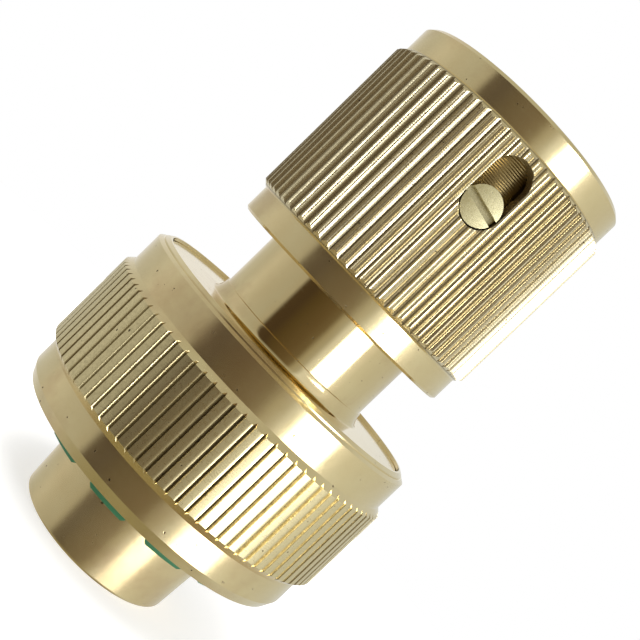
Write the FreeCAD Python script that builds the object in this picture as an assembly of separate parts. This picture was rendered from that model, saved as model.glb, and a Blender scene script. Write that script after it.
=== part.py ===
import FreeCAD, Part
import math
import os

# Quick coupling for a 19 mm garden hose, turned from brass.
# It stands on the open end of its hose tail: the origin is at the centre of
# that end, and +Z runs up the axis to the socket. Millimetres and degrees.

V = FreeCAD.Vector
AXIS = V(0, 0, 1)
ORIGIN = V(0, 0, 0)

# Clearances between neighbouring pieces, on the radius or along the axis
SLIDE_FIT = 0.08
TURN_FIT = 0.1
SEAT_GAP = 0.02
BALL_FIT = 0.05
SLOT_FIT = 0.1
HOLE_FIT = 0.03
RIM_FIT = 0.17
CLAMP_FIT = 0.15
WASHER_FIT = 0.1

# Hose tail, barbed to hold the hose, with the waterway through it
WATERWAY_R = 7.0
TAIL_TIP_WALL = 2.2
TAIL_TIP_EDGE = 0.25
TAIL_LEAD_L = 9.6
TAIL_LAND_WALL = 2.8
BARB_WALL = 3.4
BARB_DEPTH = 0.7
BARB_COUNT = 3
BARB_PITCH = 2.6
BARB_STEP = 0.15
TAIL_PLAIN_L = 0.98

# Flange that carries the thread of the nut
FLANGE_H = 7.55
THREAD_LEAD = 0.3
LAND_STEP = 0.5
LAND_H = 1.55

# Neck between the flange and the socket
NECK_WALL = 2.32
NECK_L = 8.55
NECK_FOOT_FLARE = 0.68
NECK_FOOT_H = 1.4
NECK_STEP = 0.12

# Socket barrel, with its collar for the spring, and the bore for the plug's nose
NOSE_BORE_STEP = 0.6
NOSE_BORE_L = 8.0
SOCKET_STEP = 1.2
SOCKET_DEPTH = 12.1
MOUTH_LEAD = 1.0
BARREL_WALL = 2.6
BARREL_EDGE = 0.4
COLLAR_H = 1.6
COLLAR_LIP = 1.1

# Seal ring on the step between the socket and the nose bore
SEAL_T = 1.6
SEAL_BORE_GAP = 0.3
SEAL_LIP = 0.35

# Locking balls
BALL_COUNT = 9
BALL_R = 1.75
BALL_FROM_MOUTH = 4.2
BALL_BITE = 0.7
BALL_SEAT_STEP = 0.2

# Release sleeve with its V knurl and its cam for the balls
SLEEVE_BELOW_COLLAR = 0.9
SLEEVE_ABOVE_BARREL = 0.8
SLEEVE_WALL = 0.77
SLEEVE_KNURL_H = 0.65
SLEEVE_KNURL_DEPTH = 0.55
SLEEVE_TEETH = 72
SLEEVE_CREST = (-0.29, 0.02)
SLEEVE_ROOT = (0.58, 0.62)
SLEEVE_LOW_BAND = 2.7
SLEEVE_TOP_BAND = 3.0
SLEEVE_EDGE = 0.4
SLEEVE_FOOT_EDGE = 0.25
SLEEVE_TRAVEL = 3.3
LOCK_PLAY = 0.25
LOCK_LAND_BELOW = 2.1
RAMP_START = 0.6
RAMP_ANGLE = 30.0

# Guide screws and the slots they run in
SLOT_COUNT = 3
SLOT_AZIMUTH = -79.1
SLOT_FOOT_LAND = 2.47
SCREW_FROM_MOUTH = 8.85
SCREW_HEAD_R = 1.96
SCREW_HEAD_EDGE = 0.2
SCREW_SUNK = 0.45
SCREW_SPOT_DEPTH = 0.25
SCREW_FLOOR = 0.25
SCREW_SHANK_R = 1.25
SCREW_DRIVE_W = 0.75
SCREW_DRIVE_DEPTH = 0.8
SCREW_DRIVE_TURN = -12.0

# Sleeve spring and the washer under it
SPRING_L = 7.7
SPRING_WIRE_R = 0.45
SPRING_TURNS = 3
SPRING_STEPS = 24
WASHER_T = 0.4

# Hose nut with its groove knurl and the cone that closes the clamp ring
NUT_H = 18.55
NUT_ABOVE_FLANGE = 0.35
NUT_WALL = 1.23
NUT_KNURL_H = 0.65
NUT_KNURL_DEPTH = 0.45
NUT_GROOVES = 90
NUT_CREST = (-0.31, 0.22)
NUT_ROOT = (0.55, 0.61)
NUT_TOP_BAND = 4.0
NUT_LOW_BAND = 3.7
NUT_LOW_BAND_STEP = 0.2
NUT_FOOT_STEP = 0.5
NUT_FOOT_H = 1.05
NUT_RIM_FLAT = 0.23
NUT_SHOULDER_H = 0.7
NUT_LINE_DEPTH = 0.07
NUT_LIP_H = 0.8
NUT_CONE_H = 8.25

# Clamp ring with its fingers, and the room for the hose inside it
HOSE_ROOM = 2.5
HOSE_TIP_ROOM = 1.8
CLAMP_FINGERS = 12
CLAMP_PHASE = -97.0
CLAMP_GAP_W = 2.3
CLAMP_BAND_H = 2.6
CLAMP_BAND_T = 2.45
CLAMP_TIP_T = 1.65
CLAMP_TIP_BELOW_NUT = 1.5
CLAMP_TIP_ROUND = 0.7
CLAMP_RIDGES = 2
CLAMP_RIDGE_PITCH = 2.1
CLAMP_RIDGE_DEPTH = 0.7

# Gasket at the root of the hose tail
GASKET_T = 1.0

# Heights that follow from the sizes above
BARB_TOP_Z = TAIL_LEAD_L + BARB_COUNT * BARB_PITCH
FLANGE_Z = BARB_TOP_Z + TAIL_PLAIN_L + GASKET_T + SEAT_GAP
FLANGE_TOP_Z = FLANGE_Z + FLANGE_H
COLLAR_Z = FLANGE_TOP_Z + NECK_L
COLLAR_TOP_Z = COLLAR_Z + COLLAR_H
SPRING_FOOT_Z = COLLAR_TOP_Z + SEAT_GAP + WASHER_T
GUIDE_STEP_Z = SPRING_FOOT_Z + SPRING_L
SCREW_Z = GUIDE_STEP_Z + SLOT_FOOT_LAND + SCREW_HEAD_R + SLOT_FIT
BARREL_TOP_Z = SCREW_Z + SCREW_FROM_MOUTH
SOCKET_FLOOR_Z = BARREL_TOP_Z - SOCKET_DEPTH
NOSE_FLOOR_Z = SOCKET_FLOOR_Z - NOSE_BORE_L
BALL_Z = BARREL_TOP_Z - BALL_FROM_MOUTH
SLEEVE_Z = COLLAR_Z - SLEEVE_BELOW_COLLAR
SLEEVE_TOP_Z = BARREL_TOP_Z + SLEEVE_ABOVE_BARREL
NUT_TOP_Z = FLANGE_TOP_Z + NUT_ABOVE_FLANGE
NUT_Z = NUT_TOP_Z - NUT_H
NUT_CONE_TOP_Z = NUT_Z + NUT_CONE_H

# Radii that follow from the sizes above
TAIL_TIP_R = WATERWAY_R + TAIL_TIP_WALL
TAIL_LAND_R = WATERWAY_R + TAIL_LAND_WALL
BARB_CREST_R = WATERWAY_R + BARB_WALL
BARB_ROOT_R = BARB_CREST_R - BARB_DEPTH
CLAMP_BORE_R = BARB_CREST_R + HOSE_ROOM
CLAMP_BAND_R = CLAMP_BORE_R + CLAMP_BAND_T
CLAMP_TIP_BORE_R = BARB_CREST_R + HOSE_TIP_ROOM
CLAMP_MOUTH_R = CLAMP_TIP_BORE_R + CLAMP_TIP_T
NUT_THREAD_R = CLAMP_BAND_R + CLAMP_FIT
NUT_MOUTH_R = CLAMP_MOUTH_R + CLAMP_FIT
THREAD_R = NUT_THREAD_R - TURN_FIT
LAND_R = THREAD_R + LAND_STEP
NECK_R = WATERWAY_R + NECK_WALL
NOSE_BORE_R = WATERWAY_R + NOSE_BORE_STEP
SOCKET_R = NOSE_BORE_R + SOCKET_STEP
BARREL_R = SOCKET_R + BARREL_WALL
COLLAR_R = BARREL_R + COLLAR_LIP
BALL_LOCKED_R = SOCKET_R + BALL_R - BALL_BITE
BALL_FREE_R = SOCKET_R + BALL_R + BALL_FIT
BALL_SEAT_R = BALL_R - BALL_SEAT_STEP
CHAMBER_R = COLLAR_R + SLIDE_FIT
RECESS_R = BALL_FREE_R + BALL_R + SLIDE_FIT
SLEEVE_BAND_R = max(CHAMBER_R, RECESS_R) + SLEEVE_WALL
SLEEVE_KNURL_R = SLEEVE_BAND_R + SLEEVE_KNURL_H
SCREW_SEAT_R = BARREL_R - SCREW_SPOT_DEPTH
SCREW_TIP_R = SOCKET_R + SCREW_FLOOR
SCREW_TOP_R = SLEEVE_KNURL_R - SCREW_SUNK
SLOT_R = SCREW_HEAD_R + SLOT_FIT
NUT_RIM_BORE_R = LAND_R + RIM_FIT
NUT_TOP_BAND_R = NUT_RIM_BORE_R + NUT_WALL
NUT_LOW_BAND_R = NUT_TOP_BAND_R - NUT_LOW_BAND_STEP
NUT_KNURL_R = NUT_TOP_BAND_R + NUT_KNURL_H


def point(radius, height):
    """A place on the half section: radius along X, height along Z."""
    return V(radius, 0, height)


def turned(outline):
    """A solid of revolution from the closed half section of (radius, z)."""
    corners = [point(r, z) for r, z in outline]
    wire = Part.makePolygon(corners + corners[:1])
    return Part.Face(wire).revolve(ORIGIN, AXIS, 360)


def tube(outer, inner, low, high):
    return turned([(inner, low), (outer, low), (outer, high), (inner, high)])


def around(shape, degrees):
    """A copy of the shape turned about the axis."""
    copy = shape.copy()
    copy.rotate(ORIGIN, AXIS, degrees)
    return copy


def spoke(radius, inner, outer, height):
    """A cylinder that points out along +X at the given height."""
    return Part.makeCylinder(radius, outer - inner, point(inner, height), V(1, 0, 0))


def slot_azimuth(index):
    return SLOT_AZIMUTH + index * 360.0 / SLOT_COUNT


def ball_azimuth(index):
    """The balls sit evenly, with each slot midway between two of them."""
    return SLOT_AZIMUTH + (index + 0.5) * 360.0 / BALL_COUNT


def tail_outline():
    """Outside of the hose tail, from its open end up to the flange."""
    outline = [
        (WATERWAY_R, 0),
        (TAIL_TIP_R - TAIL_TIP_EDGE, 0),
        (TAIL_TIP_R, TAIL_TIP_EDGE),
        (TAIL_LAND_R, TAIL_LEAD_L),
    ]
    for i in range(BARB_COUNT):
        foot = TAIL_LEAD_L + i * BARB_PITCH
        outline.append((BARB_ROOT_R, foot + BARB_STEP))
        outline.append((BARB_CREST_R, foot + BARB_PITCH))
    outline.append((BARB_ROOT_R, BARB_TOP_Z + BARB_STEP))
    outline.append((BARB_ROOT_R, FLANGE_Z))
    return outline


def flange_outline():
    """The threaded rim and the wider land above it."""
    land_z = FLANGE_TOP_Z - LAND_H
    return [
        (THREAD_R - THREAD_LEAD, FLANGE_Z),
        (THREAD_R, FLANGE_Z + THREAD_LEAD),
        (THREAD_R, land_z),
        (LAND_R, land_z),
        (LAND_R, FLANGE_TOP_Z),
    ]


def neck_outline():
    """The flared foot of the neck, its small step and the plain neck."""
    foot_z = FLANGE_TOP_Z + NECK_FOOT_H
    return [
        (NECK_R + NECK_FOOT_FLARE, FLANGE_TOP_Z),
        (NECK_R + NECK_STEP, foot_z - NECK_STEP),
        (NECK_R + NECK_STEP, foot_z),
        (NECK_R, foot_z),
        (NECK_R, COLLAR_Z),
    ]


def barrel_outline():
    """Collar and barrel outside, then down the socket and the nose bore."""
    return [
        (COLLAR_R, COLLAR_Z),
        (COLLAR_R, COLLAR_TOP_Z),
        (BARREL_R, COLLAR_TOP_Z),
        (BARREL_R, BARREL_TOP_Z - BARREL_EDGE),
        (BARREL_R - BARREL_EDGE, BARREL_TOP_Z),
        (SOCKET_R + MOUTH_LEAD, BARREL_TOP_Z),
        (SOCKET_R, BARREL_TOP_Z - MOUTH_LEAD),
        (SOCKET_R, SOCKET_FLOOR_Z),
        (NOSE_BORE_R, SOCKET_FLOOR_Z),
        (NOSE_BORE_R, NOSE_FLOOR_Z),
        (WATERWAY_R, NOSE_FLOOR_Z),
    ]


def coupling_body():
    """Hose tail, threaded flange, neck and socket barrel, turned in one."""
    body = turned(tail_outline() + flange_outline() + neck_outline() + barrel_outline())
    cuts = []
    for i in range(BALL_COUNT):
        cuts.append(around(ball_hole(), ball_azimuth(i)))
    for i in range(SLOT_COUNT):
        cuts.append(around(screw_seat(), slot_azimuth(i)))
    return body.cut(Part.makeCompound(cuts))


def ball_hole():
    """A radial hole whose small inner mouth keeps the ball from falling in."""
    reach = math.sqrt(BALL_R ** 2 - BALL_SEAT_R ** 2)
    seat = BALL_LOCKED_R - reach - BALL_FIT
    hole = spoke(BALL_R + BALL_FIT, seat, COLLAR_R, BALL_Z)
    mouth = spoke(BALL_SEAT_R, WATERWAY_R, seat, BALL_Z)
    return hole.fuse(mouth)


def screw_seat():
    """The screw's hole in the barrel and the flat spot under its head."""
    hole = spoke(SCREW_SHANK_R + HOLE_FIT, SCREW_TIP_R, COLLAR_R, SCREW_Z)
    spot = spoke(SLOT_R, SCREW_SEAT_R, COLLAR_R, SCREW_Z)
    return hole.fuse(spot)


def guide_screw():
    """A slotted cheese head screw that points in along the radius."""
    low = SCREW_SEAT_R + SEAT_GAP
    head = spoke(SCREW_HEAD_R, low, SCREW_TOP_R, SCREW_Z)
    rims = [e for e in head.Edges if e.BoundBox.XLength < SEAT_GAP and e.BoundBox.XMin > low + SEAT_GAP]
    head = head.makeChamfer(SCREW_HEAD_EDGE, rims)
    shank = spoke(SCREW_SHANK_R, SCREW_TIP_R + SEAT_GAP, low, SCREW_Z)
    width = 4 * SCREW_HEAD_R
    corner = V(SCREW_TOP_R - SCREW_DRIVE_DEPTH, -width / 2, SCREW_Z - SCREW_DRIVE_W / 2)
    drive = Part.makeBox(2 * SCREW_DRIVE_DEPTH, width, SCREW_DRIVE_W, corner)
    drive.rotate(V(0, 0, SCREW_Z), V(1, 0, 0), SCREW_DRIVE_TURN)
    return head.fuse(shank).removeSplitter().cut(drive)


def toothed_prism(teeth, tip, tip_ends, root, root_ends, low, high):
    """An upright prism with straight teeth, the core of a knurl.

    The ends of the flat tip and of the flat root are shares of the pitch, so
    one flank can be steeper than the other.
    """
    pitch = 2 * math.pi / teeth
    corners = []
    for i in range(teeth):
        for radius, ends in ((tip, tip_ends), (root, root_ends)):
            for end in ends:
                angle = (i + end) * pitch
                corners.append(V(radius * math.cos(angle), radius * math.sin(angle), low))
    wire = Part.makePolygon(corners + corners[:1])
    return Part.Face(wire).extrude(V(0, 0, high - low))


def knurled_collar(core, low, high, low_r, top_r, knurl_r, teeth):
    """A raised collar, sloped at both ends, that keeps only its teeth."""
    blank = turned([
        (core, low),
        (low_r, low),
        (knurl_r, low + knurl_r - low_r),
        (knurl_r, high - knurl_r + top_r),
        (top_r, high),
        (core, high),
    ])
    return blank.common(teeth)


def release_sleeve():
    """The V knurled sleeve: knurl, smooth bands, slots and the ball cam."""
    low = SLEEVE_Z + SLEEVE_LOW_BAND
    high = SLEEVE_TOP_Z - SLEEVE_TOP_BAND
    root = SLEEVE_KNURL_R - SLEEVE_KNURL_DEPTH
    teeth = toothed_prism(
        SLEEVE_TEETH, SLEEVE_KNURL_R, SLEEVE_CREST, root, SLEEVE_ROOT, low, high
    )
    knurl = knurled_collar(
        BARREL_R, low, high, SLEEVE_BAND_R, SLEEVE_BAND_R, SLEEVE_KNURL_R, teeth
    )
    band = turned([
        (BARREL_R, SLEEVE_Z),
        (SLEEVE_BAND_R - SLEEVE_FOOT_EDGE, SLEEVE_Z),
        (SLEEVE_BAND_R, SLEEVE_Z + SLEEVE_FOOT_EDGE),
        (SLEEVE_BAND_R, SLEEVE_TOP_Z - SLEEVE_EDGE),
        (SLEEVE_BAND_R - SLEEVE_EDGE, SLEEVE_TOP_Z),
        (BARREL_R, SLEEVE_TOP_Z),
    ])
    sleeve = band.fuse(knurl).cut(sleeve_bore())
    slots = [around(guide_slot(), slot_azimuth(i)) for i in range(SLOT_COUNT)]
    return sleeve.cut(Part.makeCompound(slots)).removeSplitter()


def sleeve_bore():
    """Spring chamber, guide bore, locking land, ramp and ball recess."""
    guide_r = BARREL_R + SLIDE_FIT
    land_r = BALL_LOCKED_R + BALL_R + LOCK_PLAY
    land_z = BALL_Z - LOCK_LAND_BELOW
    ramp_z = BALL_Z + RAMP_START
    ramp_top = ramp_z + (RECESS_R - land_r) / math.tan(math.radians(RAMP_ANGLE))
    return turned([
        (0, SLEEVE_Z),
        (CHAMBER_R, SLEEVE_Z),
        (CHAMBER_R, GUIDE_STEP_Z),
        (guide_r, GUIDE_STEP_Z),
        (guide_r, land_z),
        (land_r, land_z),
        (land_r, ramp_z),
        (RECESS_R, ramp_top),
        (RECESS_R, SLEEVE_TOP_Z),
        (0, SLEEVE_TOP_Z),
    ])


def guide_slot():
    """A slot with round ends, as long as the head and the travel need."""
    low = SCREW_Z - SLOT_FIT + SEAT_GAP
    high = SCREW_Z + SLEEVE_TRAVEL + SLOT_FIT
    inner = SOCKET_R
    outer = SLEEVE_KNURL_R + SLEEVE_KNURL_H
    ends = spoke(SLOT_R, inner, outer, low).fuse(spoke(SLOT_R, inner, outer, high))
    middle = Part.makeBox(outer - inner, 2 * SLOT_R, high - low, V(inner, -SLOT_R, low))
    return ends.fuse(middle)


def locking_ball():
    return Part.makeSphere(BALL_R, point(BALL_LOCKED_R, BALL_Z))


def sleeve_spring():
    """A round wire coil between the washer and the step in the sleeve."""
    mean = (BARREL_R + CHAMBER_R) / 2
    low = SPRING_FOOT_Z + SEAT_GAP + SPRING_WIRE_R
    high = GUIDE_STEP_Z - SEAT_GAP - SPRING_WIRE_R
    count = SPRING_TURNS * SPRING_STEPS
    run = 2 * math.pi * mean * SPRING_TURNS
    sections = []
    for i in range(count + 1):
        angle = 2 * math.pi * i / SPRING_STEPS
        across = V(math.cos(angle), math.sin(angle), 0)
        along = AXIS.cross(across) * run + AXIS * (high - low)
        centre = across * mean + AXIS * (low + (high - low) * i / count)
        sections.append(Part.Wire(Part.makeCircle(SPRING_WIRE_R, centre, along)))
    return Part.makeLoft(sections, True, True)


def spring_washer():
    low = COLLAR_TOP_Z + SEAT_GAP
    return tube(COLLAR_R - WASHER_FIT, BARREL_R + SLIDE_FIT, low, low + WASHER_T)


def socket_seal():
    """The rubber ring that the shoulder of the plug is pressed on."""
    low = SOCKET_FLOOR_Z + SEAT_GAP
    high = low + SEAL_T
    outer = SOCKET_R - SEAT_GAP
    inner = NOSE_BORE_R + SEAL_BORE_GAP
    return turned([
        (inner, low),
        (outer, low),
        (outer, high),
        (inner + SEAL_LIP, high),
        (inner, high - SEAL_LIP),
    ])


def hose_nut():
    """The knurled nut, from its chamfered foot to its stepped rim."""
    knurl_low = NUT_Z + NUT_LOW_BAND
    knurl_high = NUT_TOP_Z - NUT_TOP_BAND
    core = CLAMP_TIP_BORE_R
    rim_r = NUT_RIM_BORE_R + NUT_RIM_FLAT
    line_r = (rim_r + NUT_TOP_BAND_R) / 2
    line_z = NUT_TOP_Z - NUT_SHOULDER_H / 2
    shell = turned([
        (core, NUT_Z),
        (NUT_LOW_BAND_R - NUT_FOOT_STEP, NUT_Z),
        (NUT_LOW_BAND_R, NUT_Z + NUT_FOOT_H),
        (NUT_LOW_BAND_R, knurl_low),
        (NUT_TOP_BAND_R, knurl_low),
        (NUT_TOP_BAND_R, NUT_TOP_Z - NUT_SHOULDER_H),
        (line_r + NUT_LINE_DEPTH, line_z - NUT_LINE_DEPTH),
        (line_r - NUT_LINE_DEPTH, line_z - NUT_LINE_DEPTH),
        (line_r - NUT_LINE_DEPTH, line_z + NUT_LINE_DEPTH),
        (rim_r, NUT_TOP_Z),
        (core, NUT_TOP_Z),
    ])
    root = NUT_KNURL_R - NUT_KNURL_DEPTH
    teeth = toothed_prism(
        NUT_GROOVES, NUT_KNURL_R, NUT_CREST, root, NUT_ROOT, knurl_low, knurl_high
    )
    knurl = knurled_collar(
        core, knurl_low, knurl_high, NUT_LOW_BAND_R, NUT_TOP_BAND_R, NUT_KNURL_R, teeth
    )
    return shell.fuse(knurl).cut(nut_bore()).removeSplitter()


def nut_bore():
    """Mouth cone for the fingers, thread and the wider bore at the rim."""
    lip_z = FLANGE_TOP_Z - LAND_H - NUT_LIP_H
    return turned([
        (0, NUT_Z),
        (NUT_MOUTH_R, NUT_Z),
        (NUT_THREAD_R, NUT_CONE_TOP_Z),
        (NUT_THREAD_R, lip_z),
        (NUT_RIM_BORE_R, lip_z),
        (NUT_RIM_BORE_R, NUT_TOP_Z),
        (0, NUT_TOP_Z),
    ])


def clamp_ring():
    """The plastic ring whose fingers the nut closes on the hose."""
    top = FLANGE_Z - TURN_FIT
    band_z = top - CLAMP_BAND_H
    tip = NUT_Z - CLAMP_TIP_BELOW_NUT
    ring = turned([
        (CLAMP_TIP_BORE_R, tip),
        (CLAMP_MOUTH_R - CLAMP_TIP_ROUND, tip),
        (CLAMP_MOUTH_R, tip + CLAMP_TIP_ROUND),
        (CLAMP_MOUTH_R, NUT_Z),
        (CLAMP_BAND_R, NUT_CONE_TOP_Z),
        (CLAMP_BAND_R, top),
        (CLAMP_BORE_R, top),
        (CLAMP_BORE_R, band_z),
    ])
    cuts = []
    for i in range(CLAMP_RIDGES):
        cuts.append(ridge_groove(tip + (i + 0.5) * CLAMP_RIDGE_PITCH))
    outer = CLAMP_BAND_R + CLAMP_FIT
    corner = V(0, -CLAMP_GAP_W / 2, tip)
    gap = Part.makeBox(outer, CLAMP_GAP_W, band_z - tip, corner)
    gap = gap.fuse(spoke(CLAMP_GAP_W / 2, 0, outer, band_z))
    for i in range(CLAMP_FINGERS):
        cuts.append(around(gap, CLAMP_PHASE + (i + 0.5) * 360.0 / CLAMP_FINGERS))
    for cut in cuts:
        ring = ring.cut(cut)
    return ring


def ridge_groove(foot):
    """One V groove inside the fingers, so that their edges grip the hose."""
    half = CLAMP_RIDGE_PITCH / 2
    inner = CLAMP_TIP_BORE_R - CLAMP_RIDGE_DEPTH
    return turned([
        (inner, foot),
        (CLAMP_TIP_BORE_R + CLAMP_RIDGE_DEPTH, foot + half),
        (inner, foot + 2 * half),
    ])


def hose_gasket():
    """The flat rubber ring that the end of the hose bears on."""
    high = FLANGE_Z - SEAT_GAP
    return tube(CLAMP_BORE_R - TURN_FIT, BARB_ROOT_R + SEAT_GAP, high - GASKET_T, high)


def save(shape, name):
    """One STEP file for each piece, checked to be one valid solid."""
    if not shape.isValid():
        raise ValueError(name + " is not a valid solid")
    if len(shape.Solids) != 1:
        raise ValueError(name + " has " + str(len(shape.Solids)) + " solids")
    shape.Solids[0].exportStep("parts/" + name + ".step")


def main():
    os.makedirs("parts", exist_ok=True)
    save(coupling_body(), "coupling_body")
    save(release_sleeve(), "release_sleeve")
    save(sleeve_spring(), "sleeve_spring")
    save(spring_washer(), "spring_washer")
    save(socket_seal(), "socket_seal")
    screw = guide_screw()
    for i in range(SLOT_COUNT):
        save(around(screw, slot_azimuth(i)), "guide_screw_" + str(i + 1))
    ball = locking_ball()
    for i in range(BALL_COUNT):
        save(around(ball, ball_azimuth(i)), "locking_ball_" + str(i + 1))
    save(hose_nut(), "hose_nut")
    save(clamp_ring(), "clamp_ring")
    save(hose_gasket(), "hose_gasket")


main()
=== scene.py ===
import math
import bpy
from mathutils import Matrix, Vector


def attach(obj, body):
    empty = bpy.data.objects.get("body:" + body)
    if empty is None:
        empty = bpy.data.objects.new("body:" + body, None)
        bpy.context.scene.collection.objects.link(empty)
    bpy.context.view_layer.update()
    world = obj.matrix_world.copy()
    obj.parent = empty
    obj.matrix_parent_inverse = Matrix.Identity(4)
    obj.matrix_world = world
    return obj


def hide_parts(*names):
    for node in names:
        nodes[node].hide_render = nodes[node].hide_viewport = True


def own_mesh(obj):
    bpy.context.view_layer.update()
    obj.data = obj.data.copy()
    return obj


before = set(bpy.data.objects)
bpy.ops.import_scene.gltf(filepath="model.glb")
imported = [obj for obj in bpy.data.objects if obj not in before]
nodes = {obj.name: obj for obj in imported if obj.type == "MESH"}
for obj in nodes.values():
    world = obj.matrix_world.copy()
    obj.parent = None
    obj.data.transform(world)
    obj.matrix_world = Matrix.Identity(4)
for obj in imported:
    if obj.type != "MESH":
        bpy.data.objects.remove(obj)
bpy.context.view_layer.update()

# Sizes are in millimetres, as on the drawing, and MM brings them to metres.
MM = 0.001
MERGE = 0.002 * MM

# Camera of the photograph, rolled so that the coupling leans to the right
CAMERA_PLACE = (0.0, -0.11015, 0.03791)
CAMERA_TILT = 3.094
CAMERA_ROLL = 46.0
CAMERA_AZIMUTH = 0.06
CAMERA_LENS = 61.875
SENSOR = 36.0

# Columns of faces round each turned piece
BODY_COLUMNS = 180
SLEEVE_TEETH = 72
NUT_TEETH = 90

# Depth of each column of a tooth below its crest, counted towards +X on the
# side that faces the camera
SLEEVE_PROFILE = (0.0, 0.0, 0.2, 0.105, 0.254, 0.336, 0.38, 0.466, 0.275, 0.17, 0.205, 0.093)
NUT_PROFILE = (0.0, 0.0, 0.0, 0.0, 0.03, 0.21, 0.33, 0.0, 0.0, 0.0)

# How near a vertex must be to the ring that press_teeth looks for
NEAR = 0.01

# Guide slots and screws, and the balls between them
SLOT_AZIMUTH = -79.1
SLOT_COUNT = 3
SLOT_STEP = 360.0 / SLOT_COUNT
SLOT_RADIUS = 2.06
SLOT_FOOT_Z = 49.67
SLOT_LENGTH = 3.48
BALL_COUNT = 9
BALL_STEP = 360.0 / BALL_COUNT
BALL_Z = 54.4
BALL_HOLE = 1.8
BALL_MOUTH = 1.55

# Screw heads, with the sawn drive slot that leans in each
SCREW_Z = 49.75
HEAD_RADIUS = 1.96
HEAD_FOOT = 11.17
HEAD_TOP = 13.55
HEAD_RISES = ((0.5, 0.03), (0.5, 0.02), (0.5, 0.01))
SHANK_LENGTH = 2.1
DRIVE_SIZE = (1.6, 8, 0.75)
DRIVE_LEAN = -12

# Thread of the flange: middle of its ridge, its size and its pitch
THREAD_RADIUS = 15.05
THREAD_Z = 19.95
THREAD_SIZE = (0.7, 1, 1.1)
THREAD_CREST = 0.2
THREAD_PITCH = 1.5
THREAD_TURNS = 3

# Fingers of the clamp ring, and the saw that parts them: its box, then its
# steps up to a pointed end and down to the fingers' rounded tips
FINGER_COUNT = 12
FINGER_STEP = 360.0 / FINGER_COUNT
FINGER_AZIMUTH = -97.0
SAW_RADIUS = 13.5
SAW_Z = 12.45
SAW_SIZE = (6, 2.3, 8.5)
SAW_UP = ((0.5, 0.88), (0.35, 0.7), (0.25, 0.45))
SAW_DOWN = ((-0.5, 1.12), (-0.3, 1.2), (-0.2, 1.3), (-0.5, 1.0))

# Spring of the sleeve: the middle of its wire from the lower to the upper end,
# then the radius of its wire and its number of turns
SPRING_RADIUS = 11.99
SPRING_LOW = 37.99
SPRING_HIGH = 44.75
SPRING_WIRE = 0.45
SPRING_TURNS = 3


# Modelling by hand: each helper does what the tool of that name does

def deselect():
    bpy.ops.object.select_all(action="DESELECT")


def edit(piece):
    deselect()
    bpy.context.view_layer.objects.active = piece
    piece.select_set(True)
    bpy.ops.object.mode_set(mode="EDIT")


def done():
    bpy.ops.object.mode_set(mode="OBJECT")


def named(piece, name):
    piece.name = name
    piece.data.name = name
    return piece


def settle(piece):
    """The piece's place goes into its mesh, and its object to the origin."""
    deselect()
    bpy.context.view_layer.objects.active = piece
    piece.select_set(True)
    bpy.ops.object.transform_apply(location=True, rotation=True, scale=True)
    return piece


def pick(piece, verts=None, faces=None):
    """In edit mode, selects what passes the given test of its place."""
    bpy.ops.object.mode_set(mode="OBJECT")
    mesh = piece.data
    for part in (mesh.vertices, mesh.edges, mesh.polygons):
        part.foreach_set("select", [False] * len(part))
    if verts:
        for v in mesh.vertices:
            v.select = verts(v.co)
    if faces:
        for f in mesh.polygons:
            f.select = faces(f.center, f.normal)
    bpy.ops.object.mode_set(mode="EDIT")
    bpy.ops.mesh.select_mode(type="VERT" if verts else "FACE")


def finish_modifier(piece, kind, **settings):
    deselect()
    bpy.context.view_layer.objects.active = piece
    piece.select_set(True)
    modifier = piece.modifiers.new(kind.title(), kind)
    for key, value in settings.items():
        setattr(modifier, key, value)
    bpy.ops.object.modifier_apply(modifier=modifier.name)


def cut_with(piece, cutters):
    """The cutters are joined to one and cut out of the piece."""
    deselect()
    for cutter in cutters:
        cutter.select_set(True)
    bpy.context.view_layer.objects.active = cutters[0]
    if len(cutters) > 1:
        bpy.ops.object.join()
    tool = bpy.context.view_layer.objects.active
    finish_modifier(piece, "BOOLEAN", operation="DIFFERENCE", object=tool, solver="EXACT",
                    use_self=True)
    bpy.data.objects.remove(tool)


def smooth(piece, degrees=30):
    """Smooth shading in which the wide faces stay flat and the rounds turn."""
    deselect()
    bpy.context.view_layer.objects.active = piece
    piece.select_set(True)
    bpy.ops.object.shade_smooth_by_angle(angle=math.radians(degrees))
    finish_modifier(piece, "WEIGHTED_NORMAL", keep_sharp=True)


def turned(name, outline, columns):
    """A ring of edges, extruded and resized round the closed half section."""
    deselect()
    radius, height = outline[0]
    bpy.ops.mesh.primitive_circle_add(
        vertices=columns, radius=radius * MM, location=(0, 0, height * MM))
    piece = named(bpy.context.object, name)
    bpy.ops.object.mode_set(mode="EDIT")
    bpy.ops.mesh.select_all(action="SELECT")
    for here, there in zip(outline, outline[1:] + outline[:1]):
        rise = (there[1] - here[1]) * MM
        bpy.ops.mesh.extrude_region_move(TRANSFORM_OT_translate={"value": (0, 0, rise)})
        if there[0] != here[0]:
            grow = there[0] / here[0]
            bpy.ops.transform.resize(value=(grow, grow, 1), center_override=(0, 0, 0))
    bpy.ops.mesh.select_all(action="SELECT")
    bpy.ops.mesh.remove_doubles(threshold=MERGE)
    bpy.ops.mesh.normals_make_consistent(inside=False)
    done()
    return settle(piece)


def reach(co):
    """Distance of a point from the axis, in millimetres."""
    return math.hypot(co.x, co.y) / MM


def height(co):
    return co.z / MM


def column(co, count):
    """The number of the nearest column, counted from +X."""
    return round(math.degrees(math.atan2(co.y, co.x)) * count / 360.0) % count


def ease(piece, width, angle):
    """Small rounds on the edges that turn by more than the angle."""
    finish_modifier(piece, "BEVEL", width=width * MM, segments=2, limit_method="ANGLE",
                    angle_limit=math.radians(angle), use_clamp_overlap=True,
                    miter_outer="MITER_SHARP")


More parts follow.
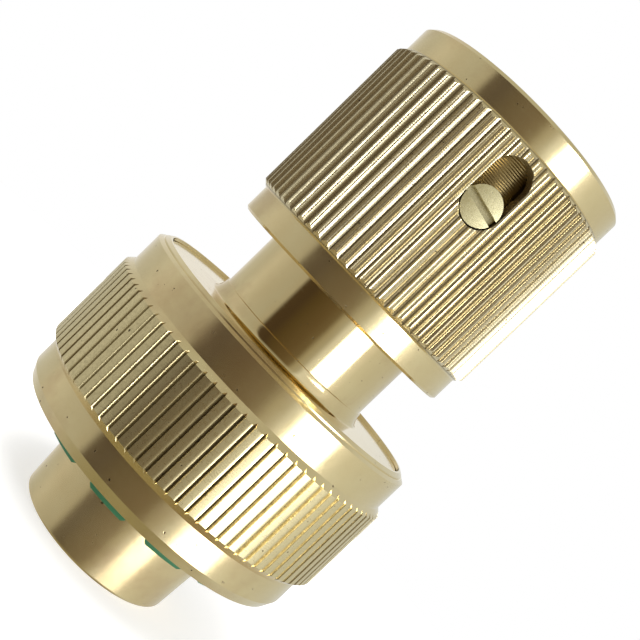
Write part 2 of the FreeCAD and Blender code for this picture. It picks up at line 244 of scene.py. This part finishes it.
def spoke(name, radius, inner, outer, z, sides=48):
    """A cylinder that points out along +X, with no corner at its middle height."""
    deselect()
    bpy.ops.mesh.primitive_cylinder_add(
        vertices=sides, radius=radius * MM, depth=(outer - inner) * MM,
        location=((inner + outer) / 2 * MM, 0, z * MM), rotation=(0, math.radians(90), 0))
    piece = named(bpy.context.object, name)
    settle(piece)
    edit(piece)
    bpy.ops.mesh.select_all(action="SELECT")
    bpy.ops.transform.rotate(value=math.radians(180 / sides), orient_axis="X",
                             center_override=(0, 0, z * MM))
    done()
    return piece


def place_round(piece, degrees):
    """Turns the piece's mesh about the axis of the coupling."""
    piece.rotation_euler = (0, 0, math.radians(degrees))
    return settle(piece)


def copy_round(piece, name, degrees):
    """A copy with its own mesh, turned about the axis."""
    twin = piece.copy()
    twin.data = piece.data.copy()
    bpy.context.scene.collection.objects.link(twin)
    named(twin, name)
    return place_round(twin, degrees)


# Turned brass: outlines as (radius, height), each one a closed half section

TAIL = [
    (7.0, 0.25), (7.25, 0), (8.95, 0), (9.2, 0.25), (9.8, 9.6),
    (9.7, 9.75), (10.4, 12.2), (9.7, 12.35), (10.4, 14.8), (9.7, 14.95), (10.4, 17.4),
    (9.7, 17.55), (9.7, 19.4),
]
FLANGE = [(14.6, 19.4), (14.7, 19.5), (14.7, 25.4), (15.98, 25.4), (15.98, 26.95)]
NECK = [
    (10.0, 26.95), (9.78, 27.2), (9.62, 27.55), (9.5, 28.0), (9.44, 28.35), (9.32, 28.36),
    (9.32, 35.5),
]
BARREL = [
    (12.5, 35.5), (12.5, 37.1), (11.4, 37.1), (11.4, 58.2), (11.0, 58.6), (9.8, 58.6),
    (8.8, 57.6), (8.8, 46.5), (7.6, 46.5), (7.6, 38.5), (7.0, 38.5),
]
SLEEVE = [
    (13.1, 34.6), (13.35, 34.85), (13.35, 37.3), (14.0, 37.95), (14.0, 55.75), (13.35, 56.4),
    (13.35, 59.0), (12.95, 59.4), (12.43, 59.4), (12.43, 56.0), (11.85, 55.0), (11.85, 52.3),
    (11.48, 52.3), (11.48, 45.22), (12.58, 45.22), (12.58, 34.6),
]
NUT = [
    (16.6, 8.75), (17.1, 9.8), (17.1, 12.45), (17.95, 13.3), (17.95, 22.65), (17.3, 23.3),
    (17.3, 26.6), (16.87, 26.88), (16.73, 26.88), (16.73, 27.02), (16.3, 27.3), (16.07, 27.3),
    (16.07, 24.6), (15.5, 24.6), (15.5, 17.0), (14.0, 8.75),
]
CLAMP = [
    (12.2, 7.25), (13.15, 7.25), (13.6, 7.4), (13.85, 7.9), (13.85, 8.75), (15.35, 17.0),
    (15.35, 19.3), (12.9, 19.3), (12.9, 16.7), (12.55, 11.98), (12.9, 11.45), (12.47, 10.93),
    (12.4, 9.88), (12.85, 9.35), (12.32, 8.83),
]


def round_corner(before, corner, after, size, steps=3):
    """Points of a small round in place of one corner of an outline."""
    start = Vector(before) - Vector(corner)
    end = Vector(after) - Vector(corner)
    size = min(size, start.length * 0.45, end.length * 0.45)
    start = start.normalized() * size
    end = end.normalized() * size
    points = []
    for i in range(steps + 1):
        t = i / steps
        offset = start * (1 - t) ** 2 + end * t ** 2
        points.append(tuple(Vector(corner) + offset))
    return points


def eased(outline, size):
    """The outline with a small round at each corner that turns enough."""
    result = []
    count = len(outline)
    for i, corner in enumerate(outline):
        before = outline[i - 1]
        after = outline[(i + 1) % count]
        a = Vector(corner) - Vector(before)
        b = Vector(after) - Vector(corner)
        if a.angle(b) < math.radians(20):
            result.append(corner)
        else:
            result.extend(round_corner(before, corner, after, size))
    return result


def coupling_body():
    """Tail, flange, neck and barrel in one turned piece, then drilled."""
    outline = eased(TAIL + FLANGE + NECK + BARREL, 0.12)
    body = turned("coupling_body_turned", outline, BODY_COLUMNS)
    cutters = []
    hole = spoke("ball_hole", BALL_HOLE, 9.05, 12.5, BALL_Z)
    mouth = spoke("ball_mouth", BALL_MOUTH, 7.0, 9.3, BALL_Z)
    for i in range(BALL_COUNT):
        turn = SLOT_AZIMUTH + (i + 0.5) * BALL_STEP
        cutters.append(copy_round(hole, "cutter", turn))
        cutters.append(copy_round(mouth, "cutter", turn))
    seat = spoke("screw_seat", SLOT_RADIUS, 11.15, 12.5, SCREW_Z)
    for i in range(SLOT_COUNT):
        cutters.append(copy_round(seat, "cutter", SLOT_AZIMUTH + i * SLOT_STEP))
    for tool in (hole, mouth, seat):
        bpy.data.objects.remove(tool)
    cut_with(body, cutters)
    smooth(body)
    return body


def flange_thread():
    """The thread of the flange: one trapezoid ridge wound up by Screw."""
    middle = (THREAD_RADIUS * MM, 0, THREAD_Z * MM)
    deselect()
    bpy.ops.mesh.primitive_plane_add(size=1 * MM, location=middle,
                                     rotation=(math.radians(90), 0, 0))
    ridge = named(bpy.context.object, "flange_thread")
    settle(ridge)
    edit(ridge)
    bpy.ops.mesh.select_all(action="SELECT")
    bpy.ops.transform.resize(value=THREAD_SIZE, center_override=middle)
    pick(ridge, verts=lambda co: co.x > THREAD_RADIUS * MM)
    bpy.ops.transform.resize(value=(1, 1, THREAD_CREST), center_override=middle)
    bpy.ops.mesh.select_all(action="SELECT")
    bpy.ops.mesh.delete(type="ONLY_FACE")
    done()
    finish_modifier(ridge, "SCREW", axis="Z", angle=math.radians(360),
                    screw_offset=THREAD_PITCH * MM, iterations=THREAD_TURNS,
                    steps=96, render_steps=96, use_merge_vertices=False)
    edit(ridge)
    bpy.ops.mesh.select_all(action="SELECT")
    bpy.ops.mesh.select_non_manifold()
    bpy.ops.mesh.edge_face_add()
    bpy.ops.mesh.select_all(action="SELECT")
    bpy.ops.mesh.normals_make_consistent(inside=False)
    done()
    smooth(ridge)
    return ridge


def spring_coil():
    """The sleeve's spring: a round wire section wound up by Screw."""
    place = (SPRING_RADIUS * MM, 0, SPRING_LOW * MM)
    deselect()
    bpy.ops.mesh.primitive_circle_add(vertices=12, radius=SPRING_WIRE * MM, location=place,
                                      rotation=(math.radians(90), 0, 0))
    coil = named(bpy.context.object, "sleeve_spring_coil")
    settle(coil)
    finish_modifier(coil, "SCREW", axis="Z", angle=math.radians(360), iterations=SPRING_TURNS,
                    screw_offset=(SPRING_HIGH - SPRING_LOW) / SPRING_TURNS * MM,
                    steps=60, render_steps=60, use_merge_vertices=False)
    edit(coil)
    bpy.ops.mesh.select_mode(type="VERT")
    bpy.ops.mesh.select_non_manifold()
    bpy.ops.mesh.edge_face_add()
    bpy.ops.mesh.select_all(action="SELECT")
    bpy.ops.mesh.normals_make_consistent(inside=False)
    done()
    smooth(coil, 40)
    return coil


def press_teeth(piece, columns, crest, ends, profile):
    """Presses the columns of one ring of vertices inwards, tooth by tooth.

    The profile gives a depth for each column of a tooth, and each end of the
    knurl its height and the way that the grooves run out of its slope.
    """
    for z, shift in ends:
        for place, depth in enumerate(profile):
            if not depth:
                continue
            edit(piece)
            pick(piece, verts=lambda co: abs(height(co) - z) < NEAR
                 and reach(co) > crest - NEAR
                 and column(co, columns) % len(profile) == place)
            shrink = (crest - depth) / crest
            bpy.ops.transform.resize(value=(shrink, shrink, 1), center_override=(0, 0, z * MM))
            bpy.ops.transform.translate(value=(0, 0, shift * depth * MM))
            done()


def release_sleeve():
    """The sleeve: a turned ring whose knurl is pressed in, then slotted."""
    columns = len(SLEEVE_PROFILE) * SLEEVE_TEETH
    sleeve = turned("release_sleeve_knurled", SLEEVE, columns)
    press_teeth(sleeve, columns, 14.0, ((37.95, -1), (55.75, 1)), SLEEVE_PROFILE)
    cutters = []
    slot = spoke("slot", SLOT_RADIUS, 8.0, 16.0, SLOT_FOOT_Z)
    edit(slot)
    pick(slot, verts=lambda co: co.z > SLOT_FOOT_Z * MM)
    bpy.ops.transform.translate(value=(0, 0, SLOT_LENGTH * MM))
    done()
    for i in range(SLOT_COUNT):
        cutters.append(copy_round(slot, "cutter", SLOT_AZIMUTH + i * SLOT_STEP))
    bpy.data.objects.remove(slot)
    cut_with(sleeve, cutters)
    smooth(sleeve, 24)
    return sleeve


def hose_nut():
    """The nut: a turned ring with a narrow groove pressed between teeth."""
    columns = len(NUT_PROFILE) * NUT_TEETH
    nut = turned("hose_nut_knurled", NUT, columns)
    press_teeth(nut, columns, 17.95, ((13.3, -1), (22.65, 1)), NUT_PROFILE)
    smooth(nut, 24)
    return nut


def clamp_ring():
    """The plastic ring, turned and then sawn into fingers."""
    ring = turned("clamp_ring_moulded", CLAMP, BODY_COLUMNS)
    saw = []
    middle = (SAW_RADIUS * MM, 0, SAW_Z * MM)
    deselect()
    bpy.ops.mesh.primitive_cube_add(size=1 * MM, location=middle)
    blade = named(bpy.context.object, "blade")
    settle(blade)
    edit(blade)
    bpy.ops.mesh.select_all(action="SELECT")
    bpy.ops.transform.resize(value=SAW_SIZE, center_override=middle)
    for side, steps in ((1, SAW_UP), (-1, SAW_DOWN)):
        pick(blade, faces=lambda centre, normal: normal.z * side > 0.5)
        for rise, grow in steps:
            bpy.ops.mesh.extrude_region_move(
                TRANSFORM_OT_translate={"value": (0, 0, rise * MM)})
            bpy.ops.transform.resize(value=(1, grow, 1), center_override=middle)
    done()
    for i in range(FINGER_COUNT):
        turn = FINGER_AZIMUTH + (i + 0.5) * FINGER_STEP
        saw.append(copy_round(blade, "cutter", turn))
    bpy.data.objects.remove(blade)
    cut_with(ring, saw)
    ease(ring, 0.18, 50)
    smooth(ring, 30)
    return ring


def guide_screw():
    """A cheese head screw that points out along +X, with a sawn slot."""
    middle = (HEAD_TOP * MM, 0, SCREW_Z * MM)
    lean = math.radians(DRIVE_LEAN)
    screw = spoke("guide_screw_head", HEAD_RADIUS, HEAD_FOOT, HEAD_TOP, SCREW_Z, 64)
    edit(screw)
    pick(screw, faces=lambda centre, normal: normal.x > 0.5)
    for shrink, rise in HEAD_RISES:
        bpy.ops.mesh.inset(thickness=shrink * MM)
        bpy.ops.transform.translate(value=(rise * MM, 0, 0))
    pick(screw, faces=lambda centre, normal: normal.x < -0.5)
    bpy.ops.mesh.inset(thickness=0.8 * MM)
    bpy.ops.mesh.extrude_region_move(
        TRANSFORM_OT_translate={"value": (-SHANK_LENGTH * MM, 0, 0)})
    done()
    deselect()
    bpy.ops.mesh.primitive_cube_add(size=1 * MM, location=middle)
    saw = named(bpy.context.object, "saw")
    settle(saw)
    edit(saw)
    bpy.ops.mesh.select_all(action="SELECT")
    bpy.ops.transform.resize(value=DRIVE_SIZE, center_override=middle)
    done()
    saw.rotation_euler = (lean, 0, 0)
    saw.location = Vector(middle) - Matrix.Rotation(lean, 3, "X") @ Vector(middle)
    settle(saw)
    cut_with(screw, [saw])
    ease(screw, 0.12, 40)
    smooth(screw, 20)
    return screw


body = coupling_body()
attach(body, "body")
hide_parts("coupling_body")

thread = flange_thread()
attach(thread, "body")

sleeve = release_sleeve()
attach(sleeve, "sleeve")
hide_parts("release_sleeve")

nut = hose_nut()
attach(nut, "nut")
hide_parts("hose_nut")

ring = clamp_ring()
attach(ring, "clamp")
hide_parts("clamp_ring")

coil = spring_coil()
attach(coil, "body")
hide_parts("sleeve_spring")
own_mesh(coil)

pattern = guide_screw()
screws = []
for i in range(SLOT_COUNT):
    number = str(i + 1)
    screw = copy_round(pattern, "guide_screw_head_" + number, SLOT_AZIMUTH + i * SLOT_STEP)
    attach(screw, "body")
    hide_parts("guide_screw_" + number)
    screws.append(screw)
bpy.data.objects.remove(pattern)


# Finishes. Patterns read Object coordinates, where +Z is the axis

class Finish:
    """A material's node tree, with short words for the nodes it needs."""

    def __init__(self, name):
        self.material = bpy.data.materials.new(name)
        self.material.use_nodes = True
        self.tree = self.material.node_tree
        self.tree.nodes.clear()
        self.shader = self.add("ShaderNodeBsdfPrincipled")
        output = self.add("ShaderNodeOutputMaterial")
        self.join(self.shader.outputs["BSDF"], output.inputs["Surface"])
        self.place = self.add("ShaderNodeTexCoord").outputs["Object"]

    def add(self, kind, **settings):
        node = self.tree.nodes.new(kind)
        for key, value in settings.items():
            setattr(node, key, value)
        return node

    def join(self, source, target):
        self.tree.links.new(source, target)

    def sum(self, kind, a, b=None):
        node = self.add("ShaderNodeMath", operation=kind)
        for socket, value in zip(node.inputs, (a, b)):
            if value is None:
                continue
            if isinstance(value, (int, float)):
                socket.default_value = value
            else:
                self.join(value, socket)
        return node.outputs[0]

    def stretch(self, scale):
        node = self.add("ShaderNodeMapping")
        node.inputs["Scale"].default_value = scale
        self.join(self.place, node.inputs["Vector"])
        return node.outputs[0]

    def noise(self, scale, detail=2.0, rough=0.5, source=None):
        node = self.add("ShaderNodeTexNoise")
        node.inputs["Scale"].default_value = scale
        node.inputs["Detail"].default_value = detail
        node.inputs["Roughness"].default_value = rough
        self.join(source or self.place, node.inputs["Vector"])
        return node.outputs["Fac"]

    def span(self, source, low, high, to_low=0.0, to_high=1.0):
        node = self.add("ShaderNodeMapRange")
        for socket, value in zip(node.inputs[1:5], (low, high, to_low, to_high)):
            socket.default_value = value
        self.join(source, node.inputs[0])
        return node.outputs[0]

    def blend(self, factor, first, second):
        """From the first number to the second, by the factor."""
        node = self.add("ShaderNodeMix", data_type="FLOAT")
        for socket, value in zip((node.inputs[0], node.inputs[2], node.inputs[3]),
                                 (factor, first, second)):
            if isinstance(value, (int, float)):
                socket.default_value = value
            else:
                self.join(value, socket)
        return node.outputs[0]

    def mix(self, factor, first, second):
        node = self.add("ShaderNodeMix", data_type="RGBA")
        for socket, value in ((node.inputs[0], factor), (node.inputs[6], first),
                              (node.inputs[7], second)):
            if isinstance(value, (int, float, tuple)):
                socket.default_value = value
            else:
                self.join(value, socket)
        return node.outputs[2]

    def within(self, source, low, high):
        """One between two sizes in millimetres, with soft ends."""
        soft = 0.1
        return self.sum("MULTIPLY", self.span(source, (low - soft) * MM, low * MM),
                        self.span(source, high * MM, (high + soft) * MM, 1.0, 0.0))

    def axis_parts(self):
        """Distance from the axis and height, both in metres."""
        parts = self.add("ShaderNodeSeparateXYZ")
        self.join(self.place, parts.inputs[0])
        x, y, z = parts.outputs
        squares = self.sum("ADD", self.sum("MULTIPLY", x, x), self.sum("MULTIPLY", y, y))
        return self.sum("SQRT", squares), z

    def bump(self, source, depth, strength=1.0, after=None):
        node = self.add("ShaderNodeBump")
        node.inputs["Strength"].default_value = strength
        node.inputs["Distance"].default_value = depth
        self.join(source, node.inputs["Height"])
        if after is not None:
            self.join(after, node.inputs["Normal"])
        return node.outputs[0]


def rgba(r, g, b):
    return (r, g, b, 1.0)


# Feed of the lathe tool, which its marks repeat, in millimetres, and the
# colours that stains, dirt with painted shade, painted shade inside the slots and the inside of a
# pit have
FEED = 0.24
STAIN = (0.5, 0.3, 0.17)
DIRT_AND_SHADE = (0.09, 0.06, 0.03)
PAINTED_SHADE = (0.27, 0.19, 0.07)
PIT = (0.12, 0.085, 0.045)


def brass(name, colour, shade, rough, rings, film, knurl=None, wear_and_shade=()):
    """Turned brass: cutter rings, scratches, pits, stains and a thin dull film.

    A knurl is given by its lower and upper height, by the radius below which
    it darkens with dirt and painted shade, by how far it darkens there, by its
    own roughness, by the depth of the tool's chatter and by its colour. Places
    of wear and painted shade are given by their heights, their reach, their
    roughness, film and share of painted shade, and by the depth of the tool's feed.
    """
    f = Finish(name)
    radius, z = f.axis_parts()
    lines = f.add("ShaderNodeTexNoise", noise_dimensions="1D")
    lines.inputs["Scale"].default_value = 7000.0
    lines.inputs["Detail"].default_value = 4.0
    lines.inputs["Roughness"].default_value = 0.6
    f.join(f.sum("ADD", radius, z), lines.inputs["W"])
    cloud = f.noise(160.0, 3.0, 0.6)
    pits = f.span(f.noise(2300.0, 1.0, 0.4), 0.76, 0.8)
    grain = f.noise(1.0, 2.0, 0.5, f.stretch((900.0, 900.0, 260.0)))
    stain = f.span(f.noise(75.0, 5.0, 0.65), 0.54, 0.68)
    scratch = f.span(f.noise(1.0, 3.0, 0.7, f.stretch((260.0, 260.0, 5200.0))), 0.62, 0.72)
    tarnish_and_painted_light = f.mix(f.span(cloud, 0.35, 0.75, 0.0, 0.55), rgba(*colour), rgba(*shade))
    tarnish_and_painted_light = f.mix(f.sum("MULTIPLY", stain, 0.3), tarnish_and_painted_light, rgba(*STAIN))
    roughness = f.span(grain, 0.3, 0.7, rough * 0.8, rough * 1.2)
    dulled = f.sum("MULTIPLY", f.sum("MAXIMUM", stain, scratch), 0.09)
    roughness = f.sum("ADD", roughness, dulled)
    metal = 1.0 - film
    normal = f.bump(lines.outputs["Fac"], rings * MM)
    sway = f.sum("MULTIPLY", f.noise(420.0, 1.0), 9.0)
    steps = f.sum("SINE", f.sum("ADD", f.sum("MULTIPLY", z, 2 * math.pi / (FEED * MM)), sway))
    for low, high, inner, outer, dull, haze, painted_shade_share, feed in wear_and_shade:
        here = f.sum("MULTIPLY", f.within(z, low, high), f.within(radius, inner, outer))
        roughness = f.blend(here, roughness, dull)
        metal = f.blend(here, metal, 1.0 - haze)
        # Painted shade: by the given share the colour turns dark brown, which darkens the barrel
        # where it lies in shade inside the sleeve's slots.
        tarnish_and_painted_light = f.mix(f.sum("MULTIPLY", here, painted_shade_share), tarnish_and_painted_light, rgba(*PAINTED_SHADE))
        normal = f.bump(f.sum("MULTIPLY", steps, here), feed * MM, 1.0, normal)
    if knurl:
        bottom, top, dirt_and_shade_radius, dirt_and_shade_share, dull, chatter, bright = knurl
        inside = f.within(z, bottom, top)
        speckle = f.noise(3400.0, 3.0, 0.7)
        # Below the given radius the colour darkens towards near black: dirt together with painted
        # shade in the grooves and other hollows.
        low_part = f.span(radius, (dirt_and_shade_radius - 0.08) * MM, dirt_and_shade_radius * MM, 1.0, 0.0)
        deep = f.sum("MULTIPLY", inside, low_part)
        # The knurl's own colour with random speckles; on the sleeve it is paled to stand in for
        # whiter highlights, a painted sheen.
        dim = rgba(*[v * 0.8 for v in bright])
        knurl_tone_and_sheen = f.mix(f.span(speckle, 0.4, 0.75), rgba(*bright), dim)
        tarnish_and_painted_light = f.mix(inside, tarnish_and_painted_light, knurl_tone_and_sheen)
        tarnish_and_painted_light = f.mix(f.sum("MULTIPLY", deep, dirt_and_shade_share), tarnish_and_painted_light, rgba(*DIRT_AND_SHADE))
        uneven = f.span(speckle, 0.3, 0.7, dull * 0.75, dull * 1.25)
        roughness = f.blend(inside, roughness, uneven)
        patchy = f.sum("MULTIPLY", inside, f.span(f.noise(240.0, 2.0), 0.35, 0.65))
        normal = f.bump(f.sum("MULTIPLY", steps, patchy), chatter * MM, 1.0, normal)
    pits_and_painted_light = f.mix(pits, tarnish_and_painted_light, rgba(*PIT))
    f.join(pits_and_painted_light, f.shader.inputs["Base Color"])
    if wear_and_shade:
        f.join(metal, f.shader.inputs["Metallic"])
    else:
        f.shader.inputs["Metallic"].default_value = metal
    roughness = f.sum("ADD", roughness, f.sum("MULTIPLY", pits, 0.3))
    f.join(roughness, f.shader.inputs["Roughness"])
    normal = f.bump(f.sum("SUBTRACT", 1.0, pits), 0.01 * MM, 0.5, normal)
    f.join(normal, f.shader.inputs["Normal"])
    return f.material


def moulded_plastic(name, colour, shade):
    f = Finish(name)
    f.join(f.mix(f.span(f.noise(300.0, 2.0), 0.3, 0.7), rgba(*colour), rgba(*shade)),
           f.shader.inputs["Base Color"])
    f.shader.inputs["Roughness"].default_value = 0.42
    f.join(f.bump(f.noise(2500.0, 2.0), 0.02 * MM), f.shader.inputs["Normal"])
    return f.material


def rubber(name):
    f = Finish(name)
    f.join(f.mix(f.noise(400.0, 2.0), rgba(0.012, 0.012, 0.012), rgba(0.035, 0.034, 0.032)),
           f.shader.inputs["Base Color"])
    f.join(f.span(f.noise(900.0, 2.0), 0.3, 0.7, 0.55, 0.75), f.shader.inputs["Roughness"])
    f.join(f.bump(f.noise(3000.0, 2.0), 0.02 * MM), f.shader.inputs["Normal"])
    return f.material


def steel(name, colour, rough, scratch):
    f = Finish(name)
    f.join(f.mix(f.noise(500.0, 2.0), rgba(*colour), rgba(*[c * 0.85 for c in colour])),
           f.shader.inputs["Base Color"])
    f.shader.inputs["Metallic"].default_value = 1.0
    f.join(f.span(f.noise(1800.0, 2.0), 0.3, 0.7, rough * 0.8, rough * 1.3),
           f.shader.inputs["Roughness"])
    f.join(f.bump(f.noise(1.0, 2.0, 0.5, f.stretch((400.0, 3000.0, 3000.0))), scratch * MM),
           f.shader.inputs["Normal"])
    return f.material


PALE_BRASS = (0.84, 0.71, 0.41)
BROWN_BRASS = (0.74, 0.58, 0.30)
# The tail is worn dull and rough; the barrel inside the sleeve's slots is rougher and darkened
# with painted shade.
brass_body = brass("brass_body_turned", (0.83, 0.69, 0.39), BROWN_BRASS, 0.09, 0.0015, 0.0,
                   wear_and_shade=[(-1.0, 8.6, 7.5, 11.0, 0.2, 0.16, 0.0, 0.0),
                         (44.0, 57.0, 11.2, 11.45, 0.27, 0.0, 0.85, 0.014)])
# The sleeve's knurl colour is paled to stand in for whiter highlights, a painted sheen, and its
# grooves are darkened with dirt and painted shade.
brass_sleeve = brass("brass_sleeve_turned", PALE_BRASS, BROWN_BRASS, 0.15, 0.003, 0.06,
                     (37.5, 56.2, 13.66, 0.5, 0.3, 0.008, (0.85, 0.75, 0.5)))
# The nut's grooves are darkened with dirt and painted shade.
brass_nut = brass("brass_nut_turned", PALE_BRASS, BROWN_BRASS, 0.14, 0.003, 0.06,
                  (13.3, 22.6, 17.9, 0.5, 0.32, 0.003, (0.8, 0.69, 0.4)))
# The screw's head is darkened below its face with painted shade, in its drive slot and round its
# sides.
brass_screw = brass("brass_screw_turned", (0.86, 0.76, 0.44), (0.76, 0.64, 0.34), 0.26, 0.006, 0.0,
                    (47.0, 52.5, 13.25, 0.35, 0.26, 0.0, (0.9, 0.82, 0.5)))
green = moulded_plastic("green_moulded", (0.032, 0.165, 0.07), (0.045, 0.2, 0.09))
black_rubber = rubber("black_rubber")
ball_steel = steel("ball_polished", (0.72, 0.72, 0.73), 0.12, 0.002)
spring_steel = steel("spring_drawn", (0.5, 0.5, 0.51), 0.3, 0.01)


def dress(piece, material):
    """One finish in the piece's only material slot."""
    if not piece.material_slots:
        piece.data.materials.append(material)
    for place in piece.material_slots:
        place.material = material


dress(body, brass_body)
dress(thread, brass_body)
dress(sleeve, brass_sleeve)
dress(nut, brass_nut)
dress(ring, green)
for screw in screws:
    dress(screw, brass_screw)
for i in range(BALL_COUNT):
    dress(nodes["locking_ball_" + str(i + 1)], ball_steel)
dress(coil, spring_steel)
dress(nodes["spring_washer"], spring_steel)
dress(nodes["socket_seal"], black_rubber)
dress(nodes["hose_gasket"], black_rubber)


# Studio: a pale floor, a white surround and the dim room round the camera

def floor():
    deselect()
    bpy.ops.mesh.primitive_circle_add(vertices=96, radius=0.12, fill_type="NGON",
                                      location=(0, 0, 0))
    plane = named(bpy.context.object, "floor")
    f = Finish("floor_white")
    f.shader.inputs["Base Color"].default_value = rgba(0.86, 0.86, 0.86)
    f.shader.inputs["Roughness"].default_value = 0.9
    f.shader.inputs["Specular IOR Level"].default_value = 0.0
    path = f.add("ShaderNodeLightPath")
    seen = f.sum("MAXIMUM", path.outputs["Is Camera Ray"], path.outputs["Is Transmission Ray"])
    away = f.axis_parts()[0]
    f.shader.inputs["Emission Color"].default_value = rgba(1, 1, 1)
    f.join(f.sum("MULTIPLY", seen, f.span(away, 0.03, 0.1, 0.6, 1.0)),
           f.shader.inputs["Emission Strength"])
    dress(plane, f.material)
    plane.visible_glossy = False
    return plane


def surround():
    """White for the camera, metal and glass; plain soft light for the rest."""
    world = bpy.data.worlds.new("studio")
    bpy.context.scene.world = world
    world.use_nodes = True
    tree = world.node_tree
    tree.nodes.clear()
    path = tree.nodes.new("ShaderNodeLightPath")
    glossy = tree.nodes.new("ShaderNodeMath")
    glossy.operation = "MAXIMUM"
    tree.links.new(path.outputs["Is Glossy Ray"], glossy.inputs[0])
    tree.links.new(path.outputs["Is Transmission Ray"], glossy.inputs[1])
    seen = tree.nodes.new("ShaderNodeMath")
    seen.operation = "MAXIMUM"
    tree.links.new(path.outputs["Is Camera Ray"], seen.inputs[0])
    tree.links.new(glossy.outputs[0], seen.inputs[1])
    level = tree.nodes.new("ShaderNodeMapRange")
    level.inputs["To Min"].default_value = 0.45
    level.inputs["To Max"].default_value = 1.0
    tree.links.new(seen.outputs[0], level.inputs["Value"])
    background = tree.nodes.new("ShaderNodeBackground")
    background.inputs["Color"].default_value = rgba(1, 1, 1)
    tree.links.new(level.outputs[0], background.inputs["Strength"])
    output = tree.nodes.new("ShaderNodeOutputWorld")
    tree.links.new(background.outputs[0], output.inputs["Surface"])


# Shade of the room by the angle from the camera, + towards +X, each as
# (degrees, red, green, blue)
ROOM = [
    (-180, 0.95, 0.95, 0.93), (-160, 0.78, 0.77, 0.75), (-140, 0.6, 0.6, 0.56),
    (-120, 0.55, 0.55, 0.52), (-100, 0.64, 0.63, 0.6), (-80, 0.53, 0.52, 0.48),
    (-60, 0.475, 0.47, 0.43), (-49, 0.46, 0.44, 0.38), (-44, 0.075, 0.05, 0.026),
    (-32, 0.07, 0.047, 0.026), (-20, 0.1, 0.07, 0.03), (0, 0.14, 0.1, 0.05),
    (11, 0.18, 0.14, 0.08), (17, 0.4, 0.37, 0.28), (24, 0.46, 0.45, 0.39),
    (30, 0.8, 0.82, 0.84), (70, 0.88, 0.88, 0.88), (80, 0.7, 0.71, 0.68),
    (100, 0.62, 0.63, 0.6), (120, 0.6, 0.61, 0.59), (140, 0.61, 0.63, 0.62),
    (160, 0.67, 0.69, 0.68), (180, 0.95, 0.95, 0.93),
]
CEILING = (0.5, 0.5, 0.43)
TABLE = (0.3, 0.27, 0.15)


def room():
    """A round room that only polished metal sees, dark where the camera stands."""
    deselect()
    bpy.ops.mesh.primitive_uv_sphere_add(segments=48, ring_count=24, radius=1.0,
                                         location=(0, 0, 0))
    wall = settle(named(bpy.context.object, "room_wall"))
    edit(wall)
    bpy.ops.mesh.select_all(action="SELECT")
    bpy.ops.mesh.flip_normals()
    done()
    f = Finish("room_shade")
    parts = f.add("ShaderNodeSeparateXYZ")
    f.join(f.place, parts.inputs[0])
    behind = f.sum("MULTIPLY", parts.outputs[1], -1.0)
    angle = f.sum("ARCTAN2", parts.outputs[0], behind)
    ramp = f.add("ShaderNodeValToRGB")
    f.join(f.span(angle, -math.pi, math.pi), ramp.inputs[0])
    stops = ramp.color_ramp.elements
    while len(stops) < len(ROOM):
        stops.new(0.5)
    for stop, (degrees, r, g, b) in zip(stops, ROOM):
        stop.position = (degrees + 180) / 360
        stop.color = rgba(r, g, b)
    shade = f.mix(f.span(parts.outputs[2], 0.7, 0.9), ramp.outputs[0], rgba(*CEILING))
    shade = f.mix(f.span(parts.outputs[2], -0.7, -0.9), shade, rgba(*TABLE))
    f.shader.inputs["Base Color"].default_value = rgba(0, 0, 0)
    f.shader.inputs["Roughness"].default_value = 1.0
    f.shader.inputs["Specular IOR Level"].default_value = 0.0
    f.join(shade, f.shader.inputs["Emission Color"])
    f.shader.inputs["Emission Strength"].default_value = 1.0
    dress(wall, f.material)
    wall.visible_camera = False
    wall.visible_diffuse = False
    wall.visible_transmission = False
    wall.visible_shadow = False


def lamp(name, degrees, elevation, distance, wide, tall, power):
    """A soft box that stands round the coupling and faces it."""
    middle = Vector((0, 0, 30 * MM))
    a, e = math.radians(degrees), math.radians(elevation)
    away = Vector((math.sin(a) * math.cos(e), -math.cos(a) * math.cos(e), math.sin(e)))
    data = bpy.data.lights.new(name, "AREA")
    data.shape = "RECTANGLE"
    data.size = wide
    data.size_y = tall
    data.energy = power
    light = bpy.data.objects.new(name, data)
    bpy.context.scene.collection.objects.link(light)
    light.location = middle + away * distance
    light.rotation_mode = "QUATERNION"
    light.rotation_quaternion = away.to_track_quat("Z", "Y")
    return light


def camera():
    data = bpy.data.cameras.new("camera")
    data.sensor_width = SENSOR
    data.lens = CAMERA_LENS
    data.clip_start = 0.005
    eye = bpy.data.objects.new("camera", data)
    bpy.context.scene.collection.objects.link(eye)
    aim = (Matrix.Rotation(math.radians(CAMERA_AZIMUTH), 4, "Z")
           @ Matrix.Rotation(math.radians(90 - CAMERA_TILT), 4, "X")
           @ Matrix.Rotation(math.radians(CAMERA_ROLL), 4, "Z"))
    eye.matrix_world = Matrix.Translation(CAMERA_PLACE) @ aim
    bpy.context.scene.camera = eye


floor()
surround()
room()
lamp("softbox_right", 51, -5, 0.7, 0.38, 0.58, 2.2)
lamp("softbox_core", 51, 0, 0.68, 0.18, 0.42, 1.6)
lamp("softbox_top", -30, 65, 0.8, 0.5, 0.5, 4.0).visible_glossy = False
camera()
bpy.context.scene.view_settings.view_transform = "Standard"
